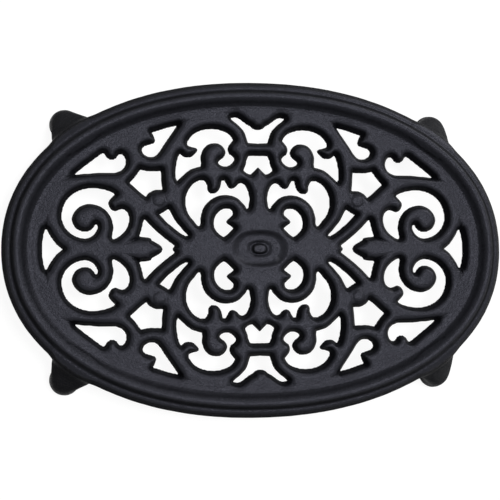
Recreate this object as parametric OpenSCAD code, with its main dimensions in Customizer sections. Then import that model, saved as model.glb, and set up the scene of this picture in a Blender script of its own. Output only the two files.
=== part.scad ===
// Oval trivet in cast iron: a beaded rim, pierced scrollwork, a dished boss and four splayed feet.
// Each foot has a rubber pad, held by a stem that is pressed into a blind hole.
// Millimetres. X runs along the oval, Y across it and Z up. The pads stand on Z = 0.

/* [Oval] */
// Length of the oval over its outer edge
trivet_l = 230; // [190:1:280]
// Width of the oval over its outer edge
trivet_w = 153; // [126:1:186]
// Exponent of the oval: 2 is an ellipse, more is squarer
oval_power = 2.13; // [2:0.01:2.4]

/* [Heights] */
// Height of the iron legs, from the pads to the underside of the grille
leg_h = 21; // [12:0.5:26]
// Thickness of the grille
grille_t = 4.6; // [3.6:0.1:6]
// Rise of the bead's crest over the grille
bead_rise = 3.4; // [1.5:0.1:5]

/* [Rim] */
// Width of the rim's moulding, from the outer edge to the flat margin
rim_w = 13.5; // [11:0.25:15]

/* [Scrollwork] */
// Width of the sloped side of each bar, seen from above
slope_w = 1.25; // [0.6:0.05:1.5]
// Height of the sloped side of each bar
slope_h = 3.1; // [1.5:0.1:3.4]

/* [Boss] */
// Length of the oval dish in the centre
dish_l = 25.6; // [22:0.2:27]
// Width of the oval dish in the centre
dish_w = 17; // [13:0.2:18]
// Depth of the dish
dish_depth = 1.3; // [0.6:0.1:2]
// Diameter of the button in the middle of the dish
button_d = 4; // [3:0.1:5]

/* [Feet] */
// Radius of the rounded toe of each foot
toe_r = 7; // [6:0.1:9]
// Length of each leg's root under the rim
root_l = 25; // [20:0.5:32]

/* [Pads] */
// Diameter of the rubber pads
pad_d = 11; // [9:0.1:11.6]
// Thickness of the rubber pads under the feet
pad_t = 2.5; // [1.5:0.1:4]
// Diameter of the stem on each pad
stem_d = 4.8; // [3.5:0.1:6]
// Length of the stem on each pad
stem_l = 6; // [4:0.1:8]

/* [Hidden] */

half_l = trivet_l / 2;
half_w = trivet_w / 2;
grille_z = pad_t + leg_h;
field_z = grille_z + grille_t;
rim_h = grille_t + bead_rise;
slope_z = field_z - slope_h;

// Clearance past a face that a cut goes through
past = grille_t / 10;
// Gap round a stem in its hole
stem_gap = stem_d / 60;
// Free depth at the end of a stem's hole
hole_spare = stem_l / 6;
// Thickness of the slabs that a leg is blended from
slab_t = leg_h / 50;

// Most that a curve turns between two points, and the most pieces between two given points
turn_step = 55;
most_pieces = 3;

// Feet, as shares of the half length and half width
foot_shares = [0.767, 0.774];

// Section of the rim's moulding: shares of its width from the outer edge, and of the crest's height
rim_field_share = grille_t / rim_h;
rim_shares = [
    [0.04, 0], [0, 0.09], [0, 0.30], [0.13, 0.60], [0.20, 0.66], [0.29, 0.63], [0.38, 0.87],
    [0.46, 1], [0.53, 1], [0.61, 0.93], [0.72, 0.77], [0.83, 0.63], [0.95, rim_field_share]
];

// Section of the dish: shares of the button's radius, then of the dish's half length, each with a
// share of the dish's depth
button_shares = [[0, -0.10], [0.80, -0.15], [1, -0.80], [1.50, -0.90]];
dish_shares = [[0.42, -0.60], [0.78, -0.95], [0.90, -0.80], [1, 0], [1.02, 0.30], [0, 0.30]];

// Slices of a leg from its root to its sole. Each is a share of the leg's height, of the way from
// the toe's size to the root's length, of the toe's diameter along the rim, of the toe's diameter
// across it, and of the toe's radius inward.
leg_shares = [
    [1.08, 1.05, 1, 0.58, 1.15], [0.86, 0.55, 1, 0.66, 0.86], [0.62, 0.12, 1, 0.82, 0.38],
    [0.24, 0, 1, 1, 0], [0, 0, 0.85, 0.85, 0]
];

// Outlines of the openings in the quarter where X and Y are positive. Each point is a share of the
// half length and a share of the half width, and a third value of 1 marks a sharp corner.
big_scroll_shares = [
    [0.564, 0.324, 1], [0.590, 0.348], [0.650, 0.363], [0.705, 0.349], [0.750, 0.303],
    [0.773, 0.230], [0.772, 0.155], [0.742, 0.092], [0.690, 0.059], [0.655, 0.075],
    [0.635, 0.115], [0.635, 0.143], [0.642, 0.151], [0.650, 0.139], [0.664, 0.115],
    [0.690, 0.107], [0.719, 0.130], [0.732, 0.175], [0.722, 0.219], [0.696, 0.253],
    [0.660, 0.263], [0.618, 0.242], [0.587, 0.190], [0.577, 0.125], [0.583, 0.070],
    [0.575, 0.057], [0.556, 0.068], [0.527, 0.107], [0.512, 0.160], [0.516, 0.215],
    [0.536, 0.240], [0.553, 0.237], [0.567, 0.228], [0.583, 0.240], [0.592, 0.272],
    [0.580, 0.301]
];
small_scroll_shares = [
    [0.097, 0.654, 1], [0.112, 0.690], [0.145, 0.715], [0.182, 0.725], [0.222, 0.717],
    [0.257, 0.693], [0.280, 0.655], [0.286, 0.627], [0.276, 0.611], [0.256, 0.604],
    [0.246, 0.595], [0.253, 0.575], [0.268, 0.556], [0.288, 0.550], [0.303, 0.561],
    [0.314, 0.571], [0.323, 0.548], [0.331, 0.490], [0.332, 0.425], [0.325, 0.401, 1],
    [0.300, 0.436], [0.268, 0.474], [0.228, 0.491, 1], [0.226, 0.515], [0.228, 0.550],
    [0.219, 0.592], [0.200, 0.622], [0.172, 0.633], [0.146, 0.618], [0.133, 0.582],
    [0.141, 0.552], [0.157, 0.534], [0.162, 0.516], [0.151, 0.499], [0.128, 0.493],
    [0.104, 0.511], [0.094, 0.541], [0.103, 0.562], [0.116, 0.578], [0.117, 0.615]
];
heart_shares = [
    [0.045, 0.239], [0.035, 0.275], [0.035, 0.325], [0.046, 0.372], [0.062, 0.397],
    [0.078, 0.397], [0.093, 0.376], [0.107, 0.366], [0.120, 0.375], [0.128, 0.398],
    [0.138, 0.415], [0.149, 0.410], [0.153, 0.382], [0.162, 0.352], [0.182, 0.335],
    [0.199, 0.346], [0.203, 0.380], [0.216, 0.412], [0.238, 0.413], [0.266, 0.386],
    [0.288, 0.335], [0.294, 0.275], [0.284, 0.213], [0.258, 0.160], [0.241, 0.134],
    [0.231, 0.147], [0.230, 0.190], [0.215, 0.253], [0.180, 0.302], [0.135, 0.321],
    [0.090, 0.306], [0.058, 0.262]
];
drop_shares = [
    [0.318, 0.744, 1], [0.360, 0.729], [0.426, 0.696, 1], [0.414, 0.657], [0.415, 0.636],
    [0.436, 0.624], [0.456, 0.612], [0.465, 0.587], [0.453, 0.557], [0.426, 0.544],
    [0.402, 0.559], [0.375, 0.617], [0.340, 0.694]
];
wing_shares = [
    [0.524, 0.505], [0.528, 0.545], [0.543, 0.566], [0.556, 0.560], [0.566, 0.540],
    [0.583, 0.532], [0.599, 0.546], [0.611, 0.570], [0.634, 0.553], [0.690, 0.488],
    [0.724, 0.445], [0.729, 0.433, 1], [0.700, 0.438], [0.630, 0.447], [0.568, 0.448],
    [0.538, 0.468]
];
five_side_shares = [
    [0.387, 0.470, 1], [0.430, 0.465], [0.470, 0.477, 1], [0.490, 0.433], [0.514, 0.393, 1],
    [0.480, 0.346], [0.448, 0.305, 1], [0.434, 0.331], [0.410, 0.348], [0.381, 0.350, 1],
    [0.384, 0.410]
];
curl_shares = [
    [0.101, 0.206], [0.107, 0.236], [0.130, 0.247], [0.158, 0.231], [0.178, 0.190],
    [0.182, 0.140], [0.168, 0.098], [0.141, 0.066, 1], [0.120, 0.089], [0.098, 0.126, 1],
    [0.116, 0.147], [0.127, 0.163], [0.114, 0.186]
];
sliver_shares = [
    [0.282, 0.082], [0.296, 0.108], [0.329, 0.167], [0.348, 0.219], [0.358, 0.244, 1],
    [0.398, 0.207, 1], [0.365, 0.153], [0.325, 0.104], [0.292, 0.075]
];

// Upper halves of the two openings that lie across the X axis
chevron_shares = [
    [0.342, 0], [0.334, 0.018], [0.342, 0.032], [0.380, 0.076], [0.420, 0.129], [0.447, 0.174],
    [0.456, 0.177], [0.462, 0.155], [0.468, 0.115], [0.477, 0.073, 1], [0.450, 0.067],
    [0.432, 0.064, 1], [0.425, 0.048], [0.400, 0.027], [0.386, 0]
];
side_shares = [
    [0.765, 0, 1], [0.792, 0.032], [0.818, 0.088], [0.834, 0.121], [0.844, 0.090],
    [0.849, 0.040], [0.849, 0]
];

// Right halves of the two openings that lie across the Y axis
crown_shares = [
    [0, 0.724], [0.017, 0.728], [0.030, 0.745], [0.045, 0.757], [0.062, 0.776], [0.084, 0.796],
    [0.106, 0.793], [0.110, 0.783], [0.085, 0.751], [0.060, 0.713], [0.048, 0.670],
    [0.041, 0.636, 1], [0, 0.633]
];
bell_shares = [
    [0, 0.565], [0.034, 0.566], [0.045, 0.550], [0.053, 0.505], [0.062, 0.472, 1],
    [0.047, 0.454], [0.030, 0.445, 1], [0.012, 0.470], [0, 0.489, 1]
];

// Valleys where two bars run together, each from an opening's corner to where it fades out
valley_shares = [
    [[0.104, 0.792], [0.122, 0.804], [0.150, 0.812]],
    [[0.322, 0.740], [0.300, 0.760], [0.268, 0.780]],
    [[0.424, 0.694], [0.446, 0.713]],
    [[0.610, 0.566], [0.602, 0.600]],
    [[0.724, 0.434], [0.756, 0.412], [0.785, 0.390]],
    [[0.834, 0.116], [0.832, 0.150], [0.824, 0.215]],
    [[0.570, 0.322], [0.546, 0.329], [0.526, 0.334]],
    [[0.580, 0.064], [0.592, 0.042]],
    [[0.640, 0.146], [0.648, 0.178], [0.664, 0.204]],
    [[0.157, 0.516], [0.178, 0.528]],
    [[0.313, 0.566], [0.311, 0.610]],
    [[0.325, 0.406], [0.325, 0.366]],
    [[0.045, 0.243], [0.044, 0.215], [0.048, 0.190]],
    [[0.238, 0.136], [0.226, 0.114], [0.211, 0.103]],
    [[0.288, 0.083], [0.260, 0.068]],
    [[0.102, 0.126], [0.070, 0.138]],
    [[0.141, 0.070], [0.133, 0.048]],
    [[0.060, 0.471], [0.071, 0.485]],
    [[0.031, 0.448], [0.022, 0.430]],
    [[0.358, 0.240], [0.350, 0.285]],
    [[0.383, 0.354], [0.362, 0.325]],
    [[0.395, 0.208], [0.422, 0.240]],
    [[0.447, 0.308], [0.442, 0.270]],
    [[0.455, 0.174], [0.460, 0.220]],
    [[0.474, 0.071], [0.495, 0.055], [0.556, 0.012]],
    [[0.510, 0.393], [0.530, 0.394]]
];

// Arithmetic on lists
function unit(v) = v / max(norm(v), 1e-9);
function wrap(list, i) = list[(i + len(list)) % len(list)];
function cross_z(a, b) = a.x * b.y - a.y * b.x;
function angle_to(a, b) = acos(max(-1, min(1, unit(a) * unit(b))));
function total(list, i = 0) = i < len(list) ? list[i] + total(list, i + 1) : 0;
function area2(p) = total([for (i = [0 : len(p) - 1]) cross_z(p[i], wrap(p, i + 1))]);

// A point of an outline in millimetres, and whether it is a sharp corner
function place(share) = [share.x * half_l, share.y * half_w];
function is_corner(share) = len(share) > 2;

// The other half of an outline that lies across an axis
function flip(share, x, y) = len(share) > 2 ? [share.x * x, share.y * y, 1] : [share.x * x, share.y * y];
function across_x(half) = concat(half, [for (i = [len(half) - 1 : -1 : 0])
    if (half[i].y > 0) flip(half[i], 1, -1)]);
function across_y(half) = concat(half, [for (i = [len(half) - 1 : -1 : 0])
    if (half[i].x > 0) flip(half[i], -1, 1)]);

// Smooth closed curve through an outline's points, with straight runs into its sharp corners
function span_dir(shares, i, j) = is_corner(shares[(i + len(shares)) % len(shares)])
    ? unit(place(wrap(shares, j + 1)) - place(wrap(shares, j)))
    : unit(place(wrap(shares, i + 1)) - place(wrap(shares, i - 1)));
function span_pieces(a, b, da, db) =
    max(1, min(most_pieces, ceil(max(angle_to(da, db), 2 * angle_to(da, b - a)) / turn_step)));
function bezier(a, b, c, d, t) =
    pow(1 - t, 3) * a + 3 * pow(1 - t, 2) * t * b + 3 * (1 - t) * t * t * c + pow(t, 3) * d;
function smooth(shares) = [
    for (i = [0 : len(shares) - 1])
        let (a = place(shares[i]),
             b = place(wrap(shares, i + 1)),
             da = span_dir(shares, i, i),
             db = span_dir(shares, i + 1, i),
             reach = norm(b - a) / 3,
             n = span_pieces(a, b, da, db))
        for (k = [0 : n - 1]) bezier(a, a + da * reach, b - db * reach, b, k / n)
];

// Width of the slope at each point of an outline, less where the iron comes to a tight nose
function nose(p, i, side) =
    let (before = p[i] - wrap(p, i - 1),
         after = wrap(p, i + 1) - p[i],
         bend = angle_to(before, after) * PI / 180)
    cross_z(before, after) * side < 0 ? min(slope_w, 0.7 * norm(before + after) / 2 / max(bend, 0.01))
                                      : slope_w;
function eased(p, w, i) = min([for (k = [-4 : 4]) wrap(w, i + k) + norm(wrap(p, i + k) - p[i]) / 2]);
function slope_out(p) =
    let (side = sign(area2(p)),
         w = [for (i = [0 : len(p) - 1]) nose(p, i, side)])
    [for (i = [0 : len(p) - 1])
        let (along = unit(unit(wrap(p, i + 1) - p[i]) + unit(p[i] - wrap(p, i - 1))))
        eased(p, w, i) * side * [along.y, -along.x]];

// Solid that fills one opening: upright below, spreading over the sloped sides above
module opening_cut(shares) {
    p = smooth(shares);
    out = slope_out(p);
    n = len(p);
    rings = [
        for (q = p) [q.x, q.y, grille_z - past],
        for (q = p) [q.x, q.y, slope_z],
        for (z = [field_z, field_z + past], i = [0 : n - 1]) [p[i].x + out[i].x, p[i].y + out[i].y, z]
    ];
    side = area2(p) > 0;
    low = [for (i = [0 : n - 1]) side ? i : n - 1 - i];
    high = [for (i = [n - 1 : -1 : 0]) 3 * n + (side ? i : n - 1 - i)];
    walls = [
        for (r = [0, n, 2 * n], i = [0 : n - 1])
            let (a = r + i, b = r + (i + 1) % n)
            for (t = [[a, a + n, b + n], [a, b + n, b]]) side ? t : [t[0], t[2], t[1]]
    ];
    polyhedron(rings, concat([low, high], walls));
}

// Wedge that cuts a valley between two points, from one share of its full depth to another
module valley_wedge(a, b, deep_a, deep_b) {
    along = unit(b - a);
    across = [-along.y, along.x];
    function at(q, s, side, z) = concat(q + across * side * slope_w * s, z);
    top = field_z + past;
    lift = (slope_h + past) / slope_h;
    points = [
        at(a, deep_a * lift, 1, top), at(a, deep_a * lift, -1, top),
        at(a, 0, 0, field_z - slope_h * deep_a),
        at(b, deep_b * lift, 1, top), at(b, deep_b * lift, -1, top),
        at(b, 0, 0, field_z - slope_h * deep_b)
    ];
    polyhedron(points, [[0, 1, 2], [3, 5, 4], [0, 3, 4], [0, 4, 1], [1, 4, 5], [1, 5, 2], [2, 5, 3], [2, 3, 0]]);
}

module valley(shares) {
    n = len(shares) - 1;
    for (i = [0 : n - 1])
        valley_wedge(place(shares[i]), place(shares[i + 1]), 1 - i / n, 1 - (i + 0.9) / n);
}

// Copies a child of the first quarter to all four
module each_quarter() {
    for (x = [0, 1], y = [0, 1])
        mirror([x, 0, 0]) mirror([0, y, 0]) children();
}

module openings() {
    each_quarter() {
        opening_cut(big_scroll_shares);
        opening_cut(small_scroll_shares);
        opening_cut(heart_shares);
        opening_cut(drop_shares);
        opening_cut(wing_shares);
        opening_cut(five_side_shares);
        opening_cut(curl_shares);
        opening_cut(sliver_shares);
        for (line = valley_shares) valley(line);
    }
    for (x = [0, 1]) mirror([x, 0, 0]) {
        opening_cut(across_x(chevron_shares));
        opening_cut(across_x(side_shares));
    }
    for (y = [0, 1]) mirror([0, y, 0]) {
        opening_cut(across_y(crown_shares));
        opening_cut(across_y(bell_shares));
    }
}

// Point of the oval at an angle, moved inward square to its edge
rim_steps = 72;
function signed_power(v, e) = sign(v) * pow(abs(v), e);
function oval_point(t, inset) =
    let (e = 2 / oval_power,
         facing = unit([signed_power(cos(t), 2 - e) / half_l, signed_power(sin(t), 2 - e) / half_w]))
    [half_l * signed_power(cos(t), e), half_w * signed_power(sin(t), e)] - inset * facing;

// Rim and grille before they are pierced: the rim's section is carried round the oval, and the
// grille's flat faces close it above and below
module blank() {
    m = len(rim_shares);
    points = [
        for (s = rim_shares, i = [0 : rim_steps - 1])
            concat(oval_point(360 * i / rim_steps, s.x * rim_w), grille_z + s.y * rim_h)
    ];
    walls = [
        for (j = [0 : m - 2], i = [0 : rim_steps - 1])
            let (a = j * rim_steps + i, b = j * rim_steps + (i + 1) % rim_steps)
            for (t = [[a, a + rim_steps, b + rim_steps], [a, b + rim_steps, b]]) t
    ];
    low = [for (i = [0 : rim_steps - 1]) i];
    high = [for (i = [rim_steps - 1 : -1 : 0]) (m - 1) * rim_steps + i];
    polyhedron(points, concat([low, high], walls));
}

// Hollow of the boss, with a raised ring and a button left in it
module dish_cut() {
    r = dish_l / 2;
    section = concat([for (s = button_shares) [s.x * button_d / dish_l, s.y]], dish_shares);
    translate([0, 0, field_z])
        scale([r, r * dish_w / dish_l, dish_depth])
            rotate_extrude($fn = 32)
                polygon(section);
}

// Slab of a leg: an oval with its length along the rim and its thickness across it
module leg_slice(s) {
    foot = place(foot_shares);
    facing = unit([pow(foot_shares.x, oval_power - 1) / half_l, pow(foot_shares.y, oval_power - 1) / half_w]);
    toe_d = 2 * toe_r;
    length = toe_d * s[2] + (root_l - toe_d) * s[1];
    translate([foot.x - facing.x * toe_r * s[4], foot.y - facing.y * toe_r * s[4], pad_t + leg_h * s[0]])
        rotate(atan2(facing.y, facing.x))
            scale([toe_d * s[3] / 2, length / 2, slab_t])
                cylinder(h = 1, r = 1, $fn = 18);
}

module leg() {
    for (i = [0 : len(leg_shares) - 2])
        hull() {
            leg_slice(leg_shares[i]);
            leg_slice(leg_shares[i + 1]);
        }
}

module stem_hole() {
    foot = place(foot_shares);
    translate([foot.x, foot.y, pad_t - past])
        cylinder(h = past + stem_l + hole_spare, d = stem_d + 2 * stem_gap, $fn = 24);
}

module trivet_casting() {
    color("#29292c")
        difference() {
            union() {
                blank();
                each_quarter() leg();
            }
            openings();
            dish_cut();
            each_quarter() stem_hole();
        }
}

// Rubber pad under one foot, with its stem
module foot_pad(x, y) {
    foot = place(foot_shares);
    edge = pad_t / 5;
    point = stem_l / 5;
    color("#1b1b1c")
        translate([x * foot.x, y * foot.y, 0])
            rotate_extrude($fn = 64)
                polygon([[0, 0], [pad_d / 2 - edge, 0], [pad_d / 2, edge], [pad_d / 2, pad_t],
                         [stem_d / 2, pad_t], [stem_d / 2, pad_t + stem_l - point],
                         [stem_d / 3, pad_t + stem_l], [0, pad_t + stem_l]]);
}

module foot_pad_front_left() { foot_pad(-1, -1); }
module foot_pad_front_right() { foot_pad(1, -1); }
module foot_pad_back_left() { foot_pad(-1, 1); }
module foot_pad_back_right() { foot_pad(1, 1); }

trivet_casting();
foot_pad_front_left();
foot_pad_front_right();
foot_pad_back_left();
foot_pad_back_right();
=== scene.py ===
import math

import bmesh
import bpy
import numpy as np
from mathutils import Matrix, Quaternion, Vector, noise


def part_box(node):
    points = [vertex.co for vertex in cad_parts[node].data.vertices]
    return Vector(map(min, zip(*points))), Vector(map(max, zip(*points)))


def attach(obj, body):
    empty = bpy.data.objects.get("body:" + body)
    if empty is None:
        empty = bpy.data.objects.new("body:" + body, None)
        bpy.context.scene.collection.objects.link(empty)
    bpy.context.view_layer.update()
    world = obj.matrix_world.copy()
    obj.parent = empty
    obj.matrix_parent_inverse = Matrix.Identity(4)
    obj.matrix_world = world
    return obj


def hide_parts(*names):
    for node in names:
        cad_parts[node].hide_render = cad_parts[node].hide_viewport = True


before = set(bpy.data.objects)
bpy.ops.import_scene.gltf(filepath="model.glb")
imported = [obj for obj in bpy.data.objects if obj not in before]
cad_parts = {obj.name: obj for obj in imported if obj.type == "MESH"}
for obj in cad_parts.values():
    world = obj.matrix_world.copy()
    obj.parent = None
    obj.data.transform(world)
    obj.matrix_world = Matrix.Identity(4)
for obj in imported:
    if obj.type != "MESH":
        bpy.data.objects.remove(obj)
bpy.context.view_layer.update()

MM = 0.001

# Sizes in millimetres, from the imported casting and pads
CASTING = "trivet_casting"
PADS = ["foot_pad_front_left", "foot_pad_front_right", "foot_pad_back_left", "foot_pad_back_right"]
casting_low, casting_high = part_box(CASTING)
pad_low, pad_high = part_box("foot_pad_back_right")
HALF = np.array([casting_high.x, casting_high.y]) / MM
CREST_Z = casting_high.z / MM
SOLE_Z = casting_low.z / MM
FOOT = np.array([pad_low.x + pad_high.x, pad_low.y + pad_high.y]) / 2 / MM
PAD_R = (pad_high.x - pad_low.x) / 2 / MM
PAD_TOP = pad_high.z / MM

# Shape of the casting, in millimetres. The two powers say how square the oval and the dish are,
# and a quarter of the oval is worked out at OVAL_POINTS places.
OVAL_POWER = 2.13
OVAL_POINTS = 241
RIM_H = 8.0
RIM_W = 13.5
GRILLE_T = 4.6
GRILLE_Z = CREST_Z - RIM_H
FIELD_Z = GRILLE_Z + GRILLE_T
LEG_H = GRILLE_Z - SOLE_Z
SLOPE_W = 1.65
SLOPE_H = 3.5
DISH_HALF = np.array([12.8, 8.5])
DISH_DEPTH = 1.6
DISH_POWER = 2.4
TOE_R = 7.0
ROOT_L = 25.0
STEM_R = 2.4
STEM_GAP = 0.08
HOLE_DEPTH = 7.0

# An opening's edge lies this far inside its outline, in millimetres, and its wall leans in by this
# share of its depth
OPENING_EASE = 0.25
WALL_DRAFT = 0.05

# Roundings where two faces of the casting meet, in millimetres. The bars' rounding shrinks to the
# share LEAST_ROUND of itself at the underside, so that it doesn't widen the openings.
BAR_ROUND = 1.8
LEAST_ROUND = 0.05
EDGE_ROUND = 0.35
ROOT_FILLET = 3.5
TOE_ROUND = 1.6

# How far from an opening, from any other outline and from a leg the field is worked out, in
# millimetres, and a number too small to matter, which keeps a division from failing
OPENING_REACH = 4.0
FAR = 1e3
LEG_REACH = 20
TINY = 1e-6

# The rim's field is looked up in a table: its step, how far short of its last place it is read, in
# steps, and its lowest and highest places, which are the distance in from the oval's edge and the
# height, in millimetres
TABLE_STEP = 0.1
SHORT = 0.001
TABLE_LOW = np.array([-6.0, SOLE_Z - 2])
TABLE_HIGH = np.array([RIM_W + 4, CREST_Z + 4])

# Size of the field's cells in millimetres, the room that they leave outside the oval, how far the
# lowest layer lies below the sole, so that no flat face falls on a layer, and how many triangles
# are kept
CELL = 0.5
EDGE_ROOM = 1.5
BELOW_SOLE = CELL * 1.31
KEEP_FACES = 190000

# Seating of the corners on the field: how often they move, how far apart the places are that give
# a slope, the least slope squared, and how near to an axis a corner lies on the seam
SEATINGS = 2
SLOPE_STEP = CELL / 5
LEAST_SQUARE = 0.25
SEAM = CELL / 20

# Unevenness that the sand leaves: how far apart its lumps are, and how deep
UNEVEN_WAVE = 9.0
UNEVEN_DEPTH = 0.07
GRAIN_WAVE = 2.2
GRAIN_DEPTH = 0.05

# Iron's colours: two that drift into each other in clouds, one of specks and one of rubbed places
# that is also a painted highlight on the crests and ridges. The ranges of the clouds' noise, the
# specks' noise and the pointiness are those that they fade in over, and the specks get to no more
# than a share.
IRON_DARK = (0.0056, 0.0058, 0.0074)
IRON_LIGHT = (0.0074, 0.0077, 0.0096)
IRON_SPECK = (0.014, 0.0144, 0.018)
IRON_WORN_AND_HIGHLIGHT = (0.038, 0.0385, 0.045)
CLOUD_RANGE = (0.35, 0.65)
SPECK_RANGE = (0.45, 0.8)
SPECK_SHARE = 0.5
RUBBED_AND_HIGHLIGHT_RANGE = (0.51, 0.60)

# Iron's shine: its tint, its roughness where the specks' noise is low and where it is high, and its
# sheen on steep and on flat places. A place is steep or flat by how far its normal points up or
# down, and the way between the two is raised to a power, so that the sheen fades early. The low
# sheen on steep places is painted shade, which darkens the steep sides and the openings' walls.
IRON_TINT = (0.80, 0.81, 1.0)
ROUGH_RANGE = (0.3, 0.75)
ROUGH = (0.45, 0.33)
SHEEN = (0.008, 0.21)
STEEP = 0.50
FLAT = 0.9
PAINTED_SHADE_POWER = 2.6

# Iron's noises, in millimetres: how far apart their lumps are, and how deep the two bumps are
CLOUD_MM = 14
SPECK_MM = 1.3
LUMP_MM = 3.0
LUMP_BUMP = 0.10
GRAIN_MM = 0.75
GRAIN_BUMP = 0.20

# Rubber: its two colours, its roughness, the ranges of the noises that they follow, how far apart
# the noises' lumps are and how deep its bump is, in millimetres
RUBBER_DARK = (0.014, 0.014, 0.015)
RUBBER_LIGHT = (0.026, 0.026, 0.027)
RUBBER_RANGE = (0.35, 0.7)
RUBBER_ROUGH_RANGE = (0.3, 0.7)
RUBBER_ROUGH = (0.62, 0.8)
RUBBER_CLOUD_MM = 3.5
RUBBER_DUST_MM = 0.8
RUBBER_GRAIN_MM = 0.35
RUBBER_BUMP = 0.03

# Floor: its side in metres, its shade under the lamps, and what the camera and mirrors see added
# to that, which together is white
FLOOR_SIZE = 3.0
FLOOR_SHADE = 0.15
FLOOR_GLOW = 0.93

# Room: what it gives as light, and how bright the camera and mirrors see it
ROOM_LIGHT = 0.04
ROOM_GLOW = 1.0

# Lamps: each has a name, a place, a size and a power, and they all look at one place
LAMPS = [
    ("top", (0.16, 0.06, 1.1), (0.22, 0.22), 6.4),
    ("side", (1.0, 1.0, 0.8), (0.8, 0.8), 15),
]
LAMPS_AIM = (0, 0, 0.02)

# Camera: its place in millimetres, its turn away from looking straight down, which is an axis as
# long as the turn in degrees, its focal length and the picture's side in pixels, its sensor in
# millimetres, and the nearest that it sees in metres
CAMERA_AT = (-74.3, -25.8, 484.0)
CAMERA_TURN = (3.161, -8.659, -0.352)
CAMERA_PIXELS = 1017.9
FRAME_PIXELS = 500
SENSOR_MM = 36
NEAR = 0.01

# Outlines of the openings in the quarter where X and Y are positive, as shares of the half length
# and half width. A third value of 1 marks a sharp corner.
BIG_SCROLL = [
    [0.564, 0.324, 1], [0.590, 0.348], [0.650, 0.363], [0.705, 0.349], [0.750, 0.303],
    [0.773, 0.230], [0.772, 0.155], [0.742, 0.092], [0.690, 0.059], [0.655, 0.075],
    [0.635, 0.115], [0.635, 0.143], [0.642, 0.151], [0.650, 0.139], [0.664, 0.115],
    [0.690, 0.107], [0.719, 0.130], [0.732, 0.175], [0.722, 0.219], [0.696, 0.253],
    [0.660, 0.263], [0.618, 0.242], [0.587, 0.190], [0.577, 0.125], [0.583, 0.070],
    [0.575, 0.057], [0.556, 0.068], [0.527, 0.107], [0.512, 0.160], [0.516, 0.215],
    [0.536, 0.240], [0.553, 0.237], [0.567, 0.228], [0.583, 0.240], [0.592, 0.272],
    [0.580, 0.301],
]
SMALL_SCROLL = [
    [0.097, 0.654, 1], [0.112, 0.690], [0.145, 0.715], [0.182, 0.725], [0.222, 0.717],
    [0.257, 0.693], [0.280, 0.655], [0.286, 0.627], [0.276, 0.611], [0.256, 0.604],
    [0.246, 0.595], [0.253, 0.575], [0.268, 0.556], [0.288, 0.550], [0.303, 0.561],
    [0.314, 0.571], [0.323, 0.548], [0.331, 0.490], [0.332, 0.425], [0.325, 0.401, 1],
    [0.300, 0.436], [0.268, 0.474], [0.228, 0.491, 1], [0.226, 0.515], [0.228, 0.550],
    [0.219, 0.592], [0.200, 0.622], [0.172, 0.633], [0.146, 0.618], [0.133, 0.582],
    [0.141, 0.552], [0.157, 0.534], [0.162, 0.516], [0.151, 0.499], [0.128, 0.493],
    [0.104, 0.511], [0.094, 0.541], [0.103, 0.562], [0.116, 0.578], [0.117, 0.615],
]
HEART = [
    [0.045, 0.239], [0.035, 0.275], [0.035, 0.325], [0.046, 0.372], [0.062, 0.397],
    [0.078, 0.397], [0.093, 0.376], [0.107, 0.366], [0.120, 0.375], [0.128, 0.398],
    [0.138, 0.415], [0.149, 0.410], [0.153, 0.382], [0.162, 0.352], [0.182, 0.335],
    [0.199, 0.346], [0.203, 0.380], [0.216, 0.412], [0.238, 0.413], [0.266, 0.386],
    [0.288, 0.335], [0.294, 0.275], [0.284, 0.213], [0.258, 0.160], [0.241, 0.134],
    [0.231, 0.147], [0.230, 0.190], [0.215, 0.253], [0.180, 0.302], [0.135, 0.321],
    [0.090, 0.306], [0.058, 0.262],
]
DROP = [
    [0.318, 0.744, 1], [0.360, 0.729], [0.426, 0.696, 1], [0.414, 0.657], [0.415, 0.636],
    [0.436, 0.624], [0.456, 0.612], [0.465, 0.587], [0.453, 0.557], [0.426, 0.544],
    [0.402, 0.559], [0.375, 0.617], [0.340, 0.694],
]
WING = [
    [0.524, 0.505], [0.528, 0.545], [0.543, 0.566], [0.556, 0.560], [0.566, 0.540],
    [0.583, 0.532], [0.599, 0.546], [0.611, 0.570], [0.634, 0.553], [0.690, 0.488],
    [0.724, 0.445], [0.729, 0.433, 1], [0.700, 0.438], [0.630, 0.447], [0.568, 0.448],
    [0.538, 0.468],
]
FIVE_SIDE = [
    [0.387, 0.470, 1], [0.430, 0.465], [0.470, 0.477, 1], [0.490, 0.433], [0.514, 0.393, 1],
    [0.480, 0.346], [0.448, 0.305, 1], [0.434, 0.331], [0.410, 0.348], [0.381, 0.350, 1],
    [0.384, 0.410],
]
CURL = [
    [0.101, 0.206], [0.107, 0.236], [0.130, 0.247], [0.158, 0.231], [0.178, 0.190],
    [0.182, 0.140], [0.168, 0.098], [0.141, 0.066, 1], [0.120, 0.089], [0.098, 0.126, 1],
    [0.116, 0.147], [0.127, 0.163], [0.114, 0.186],
]
SLIVER = [
    [0.282, 0.082], [0.296, 0.108], [0.329, 0.167], [0.348, 0.219], [0.358, 0.244, 1],
    [0.398, 0.207, 1], [0.365, 0.153], [0.325, 0.104], [0.292, 0.075],
]

# Upper halves of the two openings that lie across the X axis
CHEVRON = [
    [0.342, 0], [0.334, 0.018], [0.342, 0.032], [0.380, 0.076], [0.420, 0.129], [0.447, 0.174],
    [0.456, 0.177], [0.462, 0.155], [0.468, 0.115], [0.477, 0.073, 1], [0.450, 0.067],
    [0.432, 0.064, 1], [0.425, 0.048], [0.400, 0.027], [0.386, 0],
]
SIDE = [
    [0.765, 0, 1], [0.792, 0.032], [0.818, 0.088], [0.834, 0.121], [0.844, 0.090],
    [0.849, 0.040], [0.849, 0],
]

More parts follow.
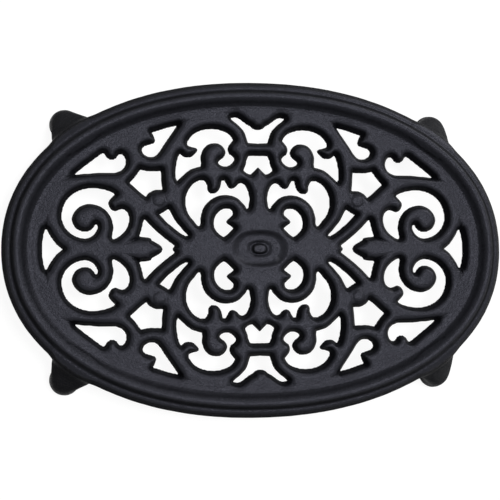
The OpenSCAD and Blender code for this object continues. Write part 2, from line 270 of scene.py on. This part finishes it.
# Right halves of the two openings that lie across the Y axis
CROWN = [
    [0, 0.724], [0.017, 0.728], [0.030, 0.745], [0.045, 0.757], [0.062, 0.776], [0.084, 0.796],
    [0.106, 0.793], [0.110, 0.783], [0.085, 0.751], [0.060, 0.713], [0.048, 0.670],
    [0.041, 0.636, 1], [0, 0.633],
]
BELL = [
    [0, 0.565], [0.034, 0.566], [0.045, 0.550], [0.053, 0.505], [0.062, 0.472, 1],
    [0.047, 0.454], [0.030, 0.445, 1], [0.012, 0.470], [0, 0.489, 1],
]

# Valleys where two bars run together, each from an opening's corner to where it fades out
VALLEYS = [
    [[0.104, 0.792], [0.122, 0.804], [0.150, 0.812]],
    [[0.322, 0.740], [0.300, 0.760], [0.268, 0.780]],
    [[0.424, 0.694], [0.446, 0.713]],
    [[0.610, 0.566], [0.602, 0.600]],
    [[0.724, 0.434], [0.756, 0.412], [0.785, 0.390]],
    [[0.834, 0.116], [0.832, 0.150], [0.824, 0.215]],
    [[0.570, 0.322], [0.546, 0.329], [0.526, 0.334]],
    [[0.580, 0.064], [0.592, 0.042]],
    [[0.640, 0.146], [0.648, 0.178], [0.664, 0.204]],
    [[0.157, 0.516], [0.178, 0.528]],
    [[0.313, 0.566], [0.311, 0.610]],
    [[0.325, 0.406], [0.325, 0.366]],
    [[0.045, 0.243], [0.044, 0.215], [0.048, 0.190]],
    [[0.238, 0.136], [0.226, 0.114], [0.211, 0.103]],
    [[0.288, 0.083], [0.260, 0.068]],
    [[0.102, 0.126], [0.070, 0.138]],
    [[0.141, 0.070], [0.133, 0.048]],
    [[0.060, 0.471], [0.071, 0.485]],
    [[0.031, 0.448], [0.022, 0.430]],
    [[0.358, 0.240], [0.350, 0.285]],
    [[0.383, 0.354], [0.362, 0.325]],
    [[0.395, 0.208], [0.422, 0.240]],
    [[0.447, 0.308], [0.442, 0.270]],
    [[0.455, 0.174], [0.460, 0.220]],
    [[0.474, 0.071], [0.495, 0.055], [0.556, 0.012]],
    [[0.510, 0.393], [0.530, 0.394]],
]

# Section of the rim: shares of its width from the outer edge, and of the crest's height. It meets
# the field at the share RIM_FOOT of its width, and the field runs on to the share RIM_FIELD.
RIM = [
    [0.04, 0.0], [0.0, 0.09], [0.0, 0.30], [0.13, 0.60], [0.20, 0.665], [0.28, 0.68],
    [0.35, 0.82], [0.40, 0.94], [0.45, 1.0], [0.54, 1.0], [0.60, 0.95], [0.67, 0.86],
    [0.75, 0.73], [0.84, 0.62],
]
RIM_FOOT = 0.95
RIM_FIELD = 4

# Section of the dish: shares of its half length from the middle, and of its depth
DISH = [
    [0.0, -0.50], [0.12, -0.52], [0.20, -0.62], [0.26, -1.12], [0.32, -1.38], [0.39, -1.18],
    [0.47, -0.95], [0.60, -0.92], [0.72, -0.92], [0.80, -0.74], [0.88, -0.42], [0.95, -0.14],
    [1.0, 0.0], [1.04, 0.06], [1.12, 0.02], [1.20, 0.0], [2.0, 0.0],
]

# Knob between two bars: its middle as shares of the half length and half width, its radius and
# its rise, and its section as shares of them
KNOB = [0.398, 0.288]
KNOB_R = 2.9
KNOB_RISE = 0.35
KNOB_SECTION = [
    [0.0, 1.0], [0.5, 0.88], [0.8, 0.45], [0.95, -0.1], [1.08, -0.45], [1.25, -0.15], [1.45, 0.0],
    [2.0, 0.0],
]

# Where the sections of the dish and the knob are cut off, just short of their last point
SECTION_END = 1.99

# Sections of a leg from its sole to its root: shares of its height, of the way from the toe's size
# to the root's length, of the toe's diameter along and across the rim, and of its radius inward
LEG = [
    [0.00, 0.00, 0.90, 0.90, 0.00], [0.08, 0.00, 1.00, 1.00, 0.00], [0.22, 0.00, 0.97, 0.97, 0.02],
    [0.42, 0.06, 0.94, 0.92, 0.15], [0.62, 0.22, 0.96, 0.82, 0.44], [0.82, 0.50, 1.00, 0.70, 0.86],
    [1.00, 0.62, 1.00, 0.60, 1.20], [1.18, 0.55, 1.00, 0.50, 1.55],
]

# Sections of a pad in millimetres: its underside from the middle out and from the table up, the
# rounding of its lower edge, its side in from its edge and down from the sole, the neck of its
# stem in from the stem's radius and up from the sole, and the stem's tip in and down from its top
PAD_UNDER = [
    (0, 0.35), (2.2, 0.35), (2.35, 0.3), (2.5, 0.0), (3.4, 0.0), (3.5, 0.25), (3.9, 0.25),
    (4.0, 0.0),
]
PAD_EDGE = 0.6
PAD_EDGE_POINTS = 7
PAD_SIDE = [(0, 0.4), (0.1, 0.12), (0.35, 0)]
STEM_NECK = [(0, 0), (0.15, 0.3), (0.15, 1.2), (0, 1.5)]
STEM_TIP = [(0, 1.4), (0.3, 0.9), (0.8, 0.2), (1.2, 0), (STEM_R, 0)]


def unit(v):
    """The vector's direction."""
    return v / max(float(np.linalg.norm(v)), TINY)


def mirrored(half, axis):
    """Both halves of an outline that lies across an axis: 0 turns X over, and 1 turns Y over."""
    other = []
    for point in reversed(half):
        if point[axis] > 0:
            turned = list(point)
            turned[axis] = -turned[axis]
            other.append(turned)
    return half + other


def span(a, b, da, db, pieces):
    """The smooth curve from a towards b that leaves along da and arrives along db."""
    reach = np.linalg.norm(b - a) / 3
    c, d = a + da * reach, b - db * reach
    curve = []
    for k in range(pieces):
        t = k / pieces
        s = 1 - t
        curve.append(s**3 * a + 3 * s * s * t * c + 3 * s * t * t * d + t**3 * b)
    return curve


def smooth_outline(shares, turn=9.0, most=9):
    """The closed curve through an outline's points in millimetres, straight into its corners."""
    points = np.array([p[:2] for p in shares]) * HALF
    corner = [len(p) > 2 for p in shares]
    n = len(points)
    curve = []
    for i in range(n):
        j = (i + 1) % n
        a, b = points[i], points[j]
        da = unit(b - a) if corner[i] else unit(b - points[i - 1])
        db = unit(b - a) if corner[j] else unit(points[(j + 1) % n] - a)
        bend = math.degrees(math.acos(max(-1.0, min(1.0, float(da @ db)))))
        lean = math.degrees(math.acos(max(-1.0, min(1.0, float(da @ unit(b - a))))))
        pieces = int(max(1, min(most, math.ceil(max(bend, 2 * lean) / turn))))
        curve += span(a, b, da, db, pieces)
    return np.array(curve)


def smooth_line(points, pieces=5):
    """A smooth open curve through points, with straight ends."""
    n = len(points)
    curve = []
    for i in range(n - 1):
        a, b = points[i], points[i + 1]
        da = unit(b - points[max(i - 1, 0)])
        db = unit(points[min(i + 2, n - 1)] - a)
        curve += span(a, b, da, db, pieces)
    return np.array(curve + [points[-1]])


def openings():
    """The outlines of all openings that touch the quarter, in millimetres."""
    whole = [BIG_SCROLL, SMALL_SCROLL, HEART, DROP, WING, FIVE_SIDE, CURL, SLIVER]
    whole += [mirrored(CHEVRON, 1), mirrored(SIDE, 1), mirrored(CROWN, 0), mirrored(BELL, 0)]
    return [smooth_outline(shares) for shares in whole]


def near(x, y, points, reach):
    """Which of the places (x, y) lie within reach of the points' box."""
    low, high = points.min(0) - reach, points.max(0) + reach
    return (x > low[0]) & (x < high[0]) & (y > low[1]) & (y < high[1])


def to_segment(x, y, a, b):
    """Distance from each place to the segment a-b, and how far along it the nearest point is."""
    d = b - a
    t = np.clip(((x - a[0]) * d[0] + (y - a[1]) * d[1]) / max(float(d @ d), TINY**2), 0, 1)
    return np.hypot(x - a[0] - t * d[0], y - a[1] - t * d[1]), t


def outline_distance(x, y, line, reach):
    """Distance from each place to a closed outline, at most reach, and negative inside it."""
    d = np.full(x.shape, reach)
    inside = np.zeros(x.shape, bool)
    for i in range(len(line)):
        a, b = line[i - 1], line[i]
        d = np.minimum(d, to_segment(x, y, a, b)[0])
        if a[1] != b[1]:
            crosses = (a[1] > y) != (b[1] > y)
            inside ^= crosses & (x < (b[0] - a[0]) * (y - a[1]) / (b[1] - a[1]) + a[0])
    return np.where(inside, -d, d)


def opening_distance(x, y, reach):
    """Distance from each place to the nearest opening's outline: negative inside an opening."""
    best = np.full(x.shape, reach)
    for line in openings():
        at = near(x, y, line, reach)
        best[at] = np.minimum(best[at], outline_distance(x[at], y[at], line, reach))
    return best


def valley_distance(x, y, reach):
    """Distance from each place to the nearest valley's floor, plus what the floor has risen."""
    best = np.full(x.shape, reach)
    for shares in VALLEYS:
        line = np.array(shares) * HALF
        lengths = np.linalg.norm(np.diff(line, axis=0), axis=1)
        at = near(x, y, line, reach)
        px, py = x[at], y[at]
        d = np.full(px.shape, reach)
        for i in range(len(line) - 1):
            off, t = to_segment(px, py, line[i], line[i + 1])
            run = (lengths[:i].sum() + t * lengths[i]) / lengths.sum()
            d = np.minimum(d, off + run * (SLOPE_W + BAR_ROUND))
        best[at] = np.minimum(best[at], d)
    return best


def oval_depth(x, y):
    """How far each place lies inside the oval's edge: negative outside it."""
    turns = np.linspace(0, math.pi / 2, OVAL_POINTS)
    e = 2 / OVAL_POWER
    edge = np.stack([HALF[0] * np.cos(turns) ** e, HALF[1] * np.abs(np.sin(turns)) ** e], 1)
    edge[-1, 0] = 0
    best = np.full(x.shape, FAR)
    for a, b in zip(edge[:-1], edge[1:]):
        best = np.minimum(best, to_segment(np.abs(x), np.abs(y), a, b)[0])
    inside = np.abs(x / HALF[0]) ** OVAL_POWER + np.abs(y / HALF[1]) ** OVAL_POWER < 1
    return np.where(inside, best, -best)


def smooth_max(a, b, k):
    """The larger of two fields, rounded over where they meet."""
    h = np.maximum(k - np.abs(a - b), 0) / k
    return np.maximum(a, b) + h * h * k / 4


def smooth_min(a, b, k):
    """The smaller of two fields, rounded over where they meet."""
    return -smooth_max(-a, -b, k)


def knots(t, table, column):
    """Smooth value of a table's column at t, which is the table's first column."""
    table = np.array(table)
    k, v = table[:, 0], table[:, column]
    rise = np.gradient(v, k)
    i = np.clip(np.searchsorted(k, t) - 1, 0, len(k) - 2)
    w = k[i + 1] - k[i]
    u = np.clip((t - k[i]) / w, 0, 1)
    return (
        v[i] * (1 + 2 * u) * (1 - u) ** 2 + rise[i] * w * u * (1 - u) ** 2
        + v[i + 1] * u * u * (3 - 2 * u) + rise[i + 1] * w * u * u * (u - 1)
    )


def rim_section():
    """The blank's closed section in millimetres: how far in from the edge, and the height."""
    moulding = smooth_line(np.array(RIM) * [RIM_W, RIM_H] + [0, GRILLE_Z])
    foot, far = RIM_W * RIM_FOOT, RIM_W * RIM_FIELD
    field = [[foot, FIELD_Z], [RIM_W, FIELD_Z], [far, FIELD_Z], [far, GRILLE_Z]]
    return np.vstack([moulding, field])


def looked_up(table, u, z):
    """The rim's table at (u, z), between its own places."""
    rows, columns = np.array(table.shape) - 1 - SHORT
    i = np.clip((u - TABLE_LOW[0]) / TABLE_STEP, 0, rows)
    j = np.clip((z - TABLE_LOW[1]) / TABLE_STEP, 0, columns)
    i0, j0 = i.astype(int), j.astype(int)
    s, t = i - i0, j - j0
    top = table[i0, j0] * (1 - s) + table[i0 + 1, j0] * s
    end = table[i0, j0 + 1] * (1 - s) + table[i0 + 1, j0 + 1] * s
    return top * (1 - t) + end * t


def blank_field(u, z):
    """The rim and the unpierced grille, at distances u in from the oval's edge and heights z."""
    us, zs = (np.arange(low, high, TABLE_STEP) for low, high in zip(TABLE_LOW, TABLE_HIGH))
    grid = np.meshgrid(us, zs, indexing="ij")
    return looked_up(outline_distance(*grid, rim_section(), FAR), u, z)


def dish_rise(x, y):
    """How far the boss stands over the field: negative in its dish."""
    r = np.abs(x / DISH_HALF[0]) ** DISH_POWER + np.abs(y / DISH_HALF[1]) ** DISH_POWER
    r = r ** (1 / DISH_POWER)
    return knots(np.minimum(r, SECTION_END), DISH, 1) * DISH_DEPTH


def knob_rise(x, y):
    """How far the knob stands over the field: negative in the groove round it."""
    place = np.array(KNOB) * HALF
    r = np.hypot(x - place[0], y - place[1]) / KNOB_R
    return knots(np.minimum(r, SECTION_END), KNOB_SECTION, 1) * KNOB_RISE


def leg_field(x, y, z):
    """The leg of the quarter where X and Y are positive."""
    out = unit((FOOT / HALF) ** (OVAL_POWER - 1) / HALF)
    a = (x - FOOT[0]) * out[0] + (y - FOOT[1]) * out[1]
    b = -(x - FOOT[0]) * out[1] + (y - FOOT[1]) * out[0]
    t = np.clip((z - SOLE_Z) / LEG_H, 0, LEG[-1][0])
    half_l = TOE_R * knots(t, LEG, 2) + (ROOT_L / 2 - TOE_R) * knots(t, LEG, 1)
    half_t = TOE_R * knots(t, LEG, 3)
    a = a + TOE_R * knots(t, LEG, 4)
    q = np.sqrt((a / half_t) ** 2 + (b / half_l) ** 2) + TINY
    slope = np.sqrt((a / half_t**2) ** 2 + (b / half_l**2) ** 2) / q + TINY
    side = np.clip((q - 1) / slope, -LEG_REACH, LEG_REACH)
    side = smooth_max(side, SOLE_Z - z, TOE_ROUND)
    return np.maximum(side, z - SOLE_Z - LEG_H * LEG[-1][0])


def casting_field(x, y, z):
    """The field of one quarter of the casting, on a grid of places."""
    plan_x, plan_y = x[:, :, 0], y[:, :, 0]
    open_d = opening_distance(plan_x, plan_y, OPENING_REACH)
    slope_d = np.minimum(open_d, valley_distance(plan_x, plan_y, OPENING_REACH))[:, :, None]
    open_d = open_d[:, :, None]
    u = np.broadcast_to(oval_depth(plan_x, plan_y)[:, :, None], x.shape)
    rise = (dish_rise(plan_x, plan_y) + knob_rise(plan_x, plan_y))[:, :, None]
    body = blank_field(u, np.where(z > GRILLE_Z + GRILLE_T / 2, z - rise, z))
    slope_z = FIELD_Z - SLOPE_H
    slope = ((z - slope_z) * SLOPE_W - slope_d * SLOPE_H) / math.hypot(SLOPE_W, SLOPE_H)
    round_top = BAR_ROUND * np.clip((z - GRILLE_Z) / GRILLE_T, LEAST_ROUND, 1)
    body = smooth_max(body, slope, round_top)
    wall = -open_d - OPENING_EASE - WALL_DRAFT * np.clip(FIELD_Z - z, 0, GRILLE_T)
    body = smooth_max(body, wall, EDGE_ROUND)
    legs = leg_field(x, y, z)
    body = smooth_min(body, legs, ROOT_FILLET)
    hole = np.hypot(x - FOOT[0], y - FOOT[1]) - STEM_R - STEM_GAP
    return np.maximum(body, -np.maximum(hole, z - SOLE_Z - HOLE_DEPTH))


def net(field, xs, ys, zs):
    """Closed net of quads where the field is zero: one corner in each cell that it crosses."""
    neg = field < 0
    shape = np.array(field.shape) - 1
    total = np.zeros((*shape, 3))
    count = np.zeros(shape)
    index = np.stack(np.meshgrid(*[np.arange(s) for s in shape], indexing="ij"), -1)
    for axis in range(3):
        for p in (0, 1):
            for q in (0, 1):
                start = [0, 0, 0]
                start[(axis + 1) % 3], start[(axis + 2) % 3] = p, q
                first = tuple(slice(s, s + n) for s, n in zip(start, shape))
                start[axis] += 1
                second = tuple(slice(s, s + n) for s, n in zip(start, shape))
                f0, f1 = field[first], field[second]
                cut = neg[first] != neg[second]
                share = np.where(cut, f0 / np.where(cut, f0 - f1, 1), 0)
                place = np.zeros((*shape, 3))
                place[..., axis] = share
                place[..., (axis + 1) % 3] = p
                place[..., (axis + 2) % 3] = q
                total += np.where(cut[..., None], place, 0)
                count += cut
    used = count > 0
    number = np.full(shape, -1)
    number[used] = np.arange(used.sum())
    at = index[used] + total[used] / count[used][:, None]
    corners = np.stack([xs[0] + at[:, 0] * CELL, ys[0] + at[:, 1] * CELL, zs[0] + at[:, 2] * CELL], 1)
    quads = []
    for axis in range(3):
        one, two = (axis + 1) % 3, (axis + 2) % 3
        size = list(field.shape)
        size[axis] -= 1
        inner = [slice(0, s) for s in size]
        inner[one], inner[two] = slice(1, size[one] - 1), slice(1, size[two] - 1)
        far = list(inner)
        far[axis] = slice(1, size[axis] + 1)
        a, b = neg[tuple(inner)], neg[tuple(far)]
        cells = np.argwhere(a != b)
        cells[:, one] += 1
        cells[:, two] += 1
        up = a[a != b]
        ring = []
        for p, q in ((1, 1), (0, 1), (0, 0), (1, 0)):
            c = cells.copy()
            c[:, one] -= p
            c[:, two] -= q
            ring.append(number[c[:, 0], c[:, 1], c[:, 2]])
        ring = np.stack(ring, 1)
        quads.append(np.where(up[:, None], ring, ring[:, ::-1]))
    return corners, np.vstack(quads)


def mesh_object(name, corners, faces):
    """A new object in the scene with this mesh."""
    mesh = bpy.data.meshes.new(name)
    mesh.from_pydata(corners, [], faces)
    mesh.validate()
    piece = bpy.data.objects.new(name, mesh)
    bpy.context.scene.collection.objects.link(piece)
    return piece


def field_at(p):
    """The casting's field at scattered places."""
    x, y, z = (p[:, k].reshape(-1, 1, 1) for k in range(3))
    return casting_field(np.abs(x), np.abs(y), z)[:, 0, 0]


def field_slope(p):
    """How the field rises along X, Y and Z at scattered places."""
    sides = []
    for axis in np.eye(3) * SLOPE_STEP:
        sides.append((field_at(p + axis) - field_at(p - axis)) / (2 * SLOPE_STEP))
    return np.stack(sides, 1)


def seated(corners):
    """The quarter's corners moved onto the casting's surface, and its normals there."""
    for _ in range(SEATINGS):
        slope = field_slope(corners)
        size = np.maximum((slope * slope).sum(1), LEAST_SQUARE)
        shift = np.clip(field_at(corners) / size, -CELL / 2, CELL / 2)
        corners = corners - slope * shift[:, None]
    slope = field_slope(corners)
    return corners, slope / np.maximum(np.linalg.norm(slope, axis=1), TINY)[:, None]


def quarter_mesh():
    """One quarter of the casting, in millimetres, with its open edges on the axes."""
    xs, ys = (np.arange(-0.5, (half + EDGE_ROOM) / CELL) * CELL for half in HALF)
    zs = np.arange(SOLE_Z - BELOW_SOLE, CREST_Z + CELL * 2, CELL)
    x, y, z = np.meshgrid(np.abs(xs), np.abs(ys), zs, indexing="ij")
    corners, faces = net(casting_field(x, y, z), xs, ys, zs)
    on_x, on_y = corners[:, 0] < CELL / 2, corners[:, 1] < CELL / 2
    corners[on_x, 0] = 0
    corners[on_y, 1] = 0
    return corners, faces


def applied(piece):
    """The piece with its modifiers made permanent."""
    graph = bpy.context.evaluated_depsgraph_get()
    mesh = bpy.data.meshes.new_from_object(piece.evaluated_get(graph))
    piece.modifiers.clear()
    piece.data = mesh
    return piece


def thinned(corners, faces, kept):
    """The mesh thinned to about this many triangles, with its open edges still on the axes."""
    piece = mesh_object("quarter", corners.tolist(), faces.tolist())
    thin = piece.modifiers.new("thin", "DECIMATE")
    thin.ratio = kept / (2 * len(faces))
    applied(piece)
    work = bmesh.new()
    work.from_mesh(piece.data)
    bmesh.ops.triangulate(work, faces=work.faces)
    for edge in work.edges:
        if edge.is_boundary:
            for v in edge.verts:
                if v.co.x < CELL:
                    v.co.x = 0
                if v.co.y < CELL:
                    v.co.y = 0
    work.to_mesh(piece.data)
    work.free()
    corners = np.array([v.co for v in piece.data.vertices])
    faces = np.array([p.vertices for p in piece.data.polygons])
    bpy.data.objects.remove(piece)
    return corners, faces


def mirrored_welded(corners, normals, faces):
    """The quarter and its three mirror images, with one corner for each place on a seam."""
    on_x, on_y = on_seam(corners, 0), on_seam(corners, 1)
    all_corners, all_normals, all_faces = [], [], []
    known = {}
    for sx, sy in ((1, 1), (-1, 1), (-1, -1), (1, -1)):
        number = np.empty(len(corners), int)
        fresh = []
        for k in range(len(corners)):
            key = (k, 0 if on_x[k] else sx, 0 if on_y[k] else sy)
            if key not in known:
                known[key] = len(known)
                fresh.append(k)
            number[k] = known[key]
        all_corners.append(corners[fresh] * [sx, sy, 1])
        all_normals.append(normals[fresh] * [sx, sy, 1])
        all_faces.append(number[faces if sx * sy > 0 else faces[:, ::-1]])
    return np.vstack(all_corners), np.vstack(all_normals), np.vstack(all_faces)


def casting():
    """The whole casting: one quarter, thinned, seated, mirrored three times and welded."""
    corners, faces = thinned(*quarter_mesh(), KEEP_FACES / 4)
    corners, normals = seated(corners)
    corners, normals = uneven(corners, normals)
    corners, normals, faces = mirrored_welded(corners, normals, faces)
    piece = mesh_object("iron_casting", (corners * MM).tolist(), faces.tolist())
    shade_smooth(piece)
    piece.data.normals_split_custom_set_from_vertices(normals.tolist())
    return piece


def on_seam(corners, axis):
    """Which corners lie where the quarter meets its mirror image."""
    return np.abs(corners[:, axis]) < SEAM


def unevenness(p):
    """How far the sand of the mould leaves the iron out or in at a place, in millimetres."""
    return noise.noise(p / UNEVEN_WAVE) * UNEVEN_DEPTH + noise.noise(p / GRAIN_WAVE) * GRAIN_DEPTH


def uneven(corners, normals):
    """The quarter's corners moved a little in and out, and the normals that this gives them."""
    steps = [Vector((CELL, 0, 0)), Vector((0, CELL, 0)), Vector((0, 0, CELL))]
    rises, slopes = [], []
    for corner in corners:
        p = Vector(corner)
        rise = unevenness(p)
        rises.append(rise)
        slopes.append([(unevenness(p + step) - rise) / CELL for step in steps])
    slopes = np.array(slopes)
    tilted = normals - slopes + (slopes * normals).sum(1)[:, None] * normals
    for axis in (0, 1):
        tilted[on_seam(corners, axis), axis] = 0
    tilted /= np.linalg.norm(tilted, axis=1)[:, None]
    return corners + normals * np.array(rises)[:, None], tilted


def shade_smooth(piece):
    """All faces of the piece shaded smooth."""
    piece.data.polygons.foreach_set("use_smooth", [True] * len(piece.data.polygons))
    piece.data.update()


def turned(name, section, centre, steps=64):
    """A closed piece turned about an upright axis from a section that starts and ends on it."""
    corners, faces, rings = [], [], []
    for r, z in section:
        if r == 0:
            rings.append([len(corners)])
            corners.append((centre[0], centre[1], z))
            continue
        rings.append(list(range(len(corners), len(corners) + steps)))
        for k in range(steps):
            t = 2 * math.pi * k / steps
            corners.append((centre[0] + r * math.cos(t), centre[1] + r * math.sin(t), z))
    for low, high in zip(rings[:-1], rings[1:]):
        for k in range(steps):
            n = (k + 1) % steps
            if len(low) == 1:
                faces.append((low[0], high[n], high[k]))
            elif len(high) == 1:
                faces.append((low[k], low[n], high[0]))
            else:
                faces.append((low[k], low[n], high[n], high[k]))
    piece = mesh_object(name, [Vector(c) * MM for c in corners], faces)
    shade_smooth(piece)
    return piece


def pad(node):
    """A rubber pad with a rounded edge, a ring groove underneath and a barbed stem."""
    low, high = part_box(node)
    centre = np.array([low.x + high.x, low.y + high.y]) / 2 / MM
    edge = [
        (PAD_R - PAD_EDGE + PAD_EDGE * math.sin(t), PAD_EDGE - PAD_EDGE * math.cos(t))
        for t in np.linspace(0, math.pi / 2, PAD_EDGE_POINTS)
    ]
    side = [(PAD_R - inward, SOLE_Z - down) for inward, down in PAD_SIDE]
    neck = [(STEM_R - inward, SOLE_Z + up) for inward, up in STEM_NECK]
    tip = [(STEM_R - inward, PAD_TOP - down) for inward, down in STEM_TIP]
    piece = turned("rubber_" + node, PAD_UNDER + edge + side + neck + tip, centre)
    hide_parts(node)
    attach(piece, "root")
    return piece


class Nodes:
    """Short calls that add nodes to a material or to the world and link them."""

    def __init__(self, name, kept=bpy.data.materials, shader="Principled BSDF"):
        self.owner = kept.new(name)
        self.owner.use_nodes = True
        self.tree = self.owner.node_tree
        self.shader = self.tree.nodes[shader]
        self.place = self.tree.nodes.new("ShaderNodeTexCoord").outputs["Object"]

    def add(self, kind, sets=(), **links):
        """A node with its settings and inputs: i3 is input number 3, and From_Min is From Min."""
        node = self.tree.nodes.new("ShaderNode" + kind)
        for key, value in dict(sets).items():
            setattr(node, key, value)
        for key, value in links.items():
            numbered = key[1:].isdigit()
            socket = node.inputs[int(key[1:]) if numbered else key.replace("_", " ")]
            if isinstance(value, bpy.types.NodeSocket):
                self.tree.links.new(value, socket)
            else:
                socket.default_value = value
        return node

    def noise(self, wave, detail=3.0, rough=0.55):
        """Noise from 0 to 1 whose lumps are about wave millimetres apart."""
        sizes = dict(Scale=1 / (wave * MM), Detail=detail, Roughness=rough)
        return self.add("TexNoise", Vector=self.place, **sizes).outputs[0]

    def ramp(self, value, low, high, to_low=0, to_high=1):
        """A value's straight way from one range to another, held at the ends."""
        ends = dict(From_Min=low, From_Max=high, To_Min=to_low, To_Max=to_high)
        return self.add("MapRange", Value=value, **ends).outputs["Result"]

    def mix(self, share, a, b):
        """The colour between a and b."""
        return self.add("Mix", {"data_type": "RGBA"}, i0=share, i6=a, i7=b).outputs[2]

    def math(self, operation, *values):
        """The result of a sum on one or two values."""
        inputs = {f"i{i}": value for i, value in enumerate(values)}
        return self.add("Math", {"operation": operation}, **inputs).outputs[0]

    def bump(self, height, depth, strength=1.0, normal=None):
        """Bump of a height from 0 to 1 that is depth millimetres deep."""
        links = dict(Strength=strength, Distance=depth * MM, Height=height)
        if normal is not None:
            links["Normal"] = normal
        return self.add("Bump", **links).outputs["Normal"]

    def link(self, value, socket):
        """A value led into the shader's socket."""
        self.tree.links.new(value, self.shader.inputs[socket])


def iron_material():
    """Matt black cast iron: sand grain, cloudy colour, painted shade on steep sides by cutting their
    sheen, and rubbed high places that are partly a painted highlight.
    """
    n = Nodes("cast_iron_matt_black")
    cloud = n.noise(CLOUD_MM, 4)
    speck = n.noise(SPECK_MM, 3, 0.6)
    grain = n.noise(GRAIN_MM, 2, 0.6)
    # Pointiness lightens the high ridges and edges: rubbed wear, and partly a painted highlight on
    # the crests
    rubbed_and_highlight = n.ramp(n.add("NewGeometry").outputs["Pointiness"], *RUBBED_AND_HIGHLIGHT_RANGE)
    colour = n.mix(n.ramp(cloud, *CLOUD_RANGE), (*IRON_DARK, 1), (*IRON_LIGHT, 1))
    colour = n.mix(n.ramp(speck, *SPECK_RANGE, 0, SPECK_SHARE), colour, (*IRON_SPECK, 1))
    colour = n.mix(rubbed_and_highlight, colour, (*IRON_WORN_AND_HIGHLIGHT, 1))
    n.link(colour, "Base Color")
    n.link(n.ramp(speck, *ROUGH_RANGE, *ROUGH), "Roughness")
    # The sheen follows how far the normal points up or down: painted shade that darkens the steep
    # sides and the openings' walls
    normal = n.add("TexCoord").outputs["Normal"]
    upward = n.math("ABSOLUTE", n.add("SeparateXYZ", Vector=normal).outputs["Z"])
    flat = n.math("POWER", n.ramp(upward, STEEP, FLAT), PAINTED_SHADE_POWER)
    n.link(n.ramp(flat, 0, 1, *SHEEN), "Specular IOR Level")
    n.shader.inputs["Specular Tint"].default_value = (*IRON_TINT, 1)
    lumps = n.bump(n.noise(LUMP_MM, 3), LUMP_BUMP, 0.8)
    n.link(n.bump(grain, GRAIN_BUMP, 1.0, lumps), "Normal")
    return n.owner


def rubber_material():
    """Black rubber with a faint moulded grain and dusty patches."""
    n = Nodes("rubber_black")
    cloud = n.ramp(n.noise(RUBBER_CLOUD_MM, 3), *RUBBER_RANGE)
    n.link(n.mix(cloud, (*RUBBER_DARK, 1), (*RUBBER_LIGHT, 1)), "Base Color")
    dust = n.noise(RUBBER_DUST_MM)
    n.link(n.ramp(dust, *RUBBER_ROUGH_RANGE, *RUBBER_ROUGH), "Roughness")
    n.link(n.bump(n.noise(RUBBER_GRAIN_MM, 2), RUBBER_BUMP, 0.6), "Normal")
    return n.owner


def seen_or_mirrored(n):
    """1 for a ray that shows a background to the camera, a mirror or a glass, and otherwise 0."""
    rays = n.add("LightPath").outputs
    seen = n.math("MAXIMUM", rays["Is Camera Ray"], rays["Is Glossy Ray"])
    return n.math("MAXIMUM", seen, rays["Is Transmission Ray"])


def floor_material():
    """White paper: it takes the shadows, the camera sees it as white, and from below it is clear."""
    n = Nodes("floor_white")
    strength = n.math("MULTIPLY", seen_or_mirrored(n), FLOOR_GLOW)
    glow = n.add("Emission", Color=(1, 1, 1, 1), Strength=strength)
    paper = n.add("BsdfDiffuse", Color=(FLOOR_SHADE, FLOOR_SHADE, FLOOR_SHADE, 1))
    both = n.add("AddShader", i0=paper.outputs[0], i1=glow.outputs[0])
    below = n.add("NewGeometry").outputs["Backfacing"]
    clear = n.add("BsdfTransparent")
    sheet = n.add("MixShader", i0=below, i1=both.outputs[0], i2=clear.outputs[0])
    out = n.tree.nodes["Material Output"]
    n.tree.links.new(sheet.outputs[0], out.inputs["Surface"])
    n.tree.nodes.remove(n.shader)
    return n.owner


def floor():
    """A square of the floor under the trivet."""
    s = FLOOR_SIZE / 2
    piece = mesh_object("floor", [(-s, -s, 0), (s, -s, 0), (s, s, 0), (-s, s, 0)], [(0, 1, 2, 3)])
    piece.data.materials.append(floor_material())


def area_light(name, place, size, power):
    """A lamp with a soft square face, turned to the place that the lamps look at."""
    data = bpy.data.lights.new(name, "AREA")
    data.shape = "RECTANGLE"
    data.size, data.size_y = size
    data.energy = power
    lamp = bpy.data.objects.new(name, data)
    lamp.location = place
    way = Vector(LAMPS_AIM) - Vector(place)
    lamp.rotation_euler = way.to_track_quat("-Z", "Y").to_euler()
    bpy.context.scene.collection.objects.link(lamp)


def lights():
    """A lamp above, a larger one at the back right, and a room that is dim but looks white."""
    for name, place, size, power in LAMPS:
        area_light(name, place, size, power)
    n = Nodes("room", bpy.data.worlds, "Background")
    n.shader.inputs["Color"].default_value = (1, 1, 1, 1)
    n.link(n.ramp(seen_or_mirrored(n), 0, 1, ROOM_LIGHT, ROOM_GLOW), "Strength")
    bpy.context.scene.world = n.owner
    bpy.context.scene.view_settings.view_transform = "Standard"


def camera():
    """The photograph's view."""
    data = bpy.data.cameras.new("camera")
    data.sensor_width = SENSOR_MM
    data.lens = CAMERA_PIXELS / FRAME_PIXELS * SENSOR_MM
    data.clip_start = NEAR
    eye = bpy.data.objects.new("camera", data)
    turn = Vector(CAMERA_TURN)
    eye.rotation_mode = "QUATERNION"
    eye.rotation_quaternion = Quaternion(turn.normalized(), math.radians(turn.length))
    eye.location = Vector(CAMERA_AT) * MM
    bpy.context.scene.collection.objects.link(eye)
    bpy.context.scene.camera = eye


def build():
    """The stage, the casting and the four pads."""
    lights()
    floor()
    camera()
    iron = casting()
    iron.data.materials.append(iron_material())
    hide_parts(CASTING)
    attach(iron, "root")
    rubber = rubber_material()
    for node in PADS:
        pad(node).data.materials.append(rubber)


build()
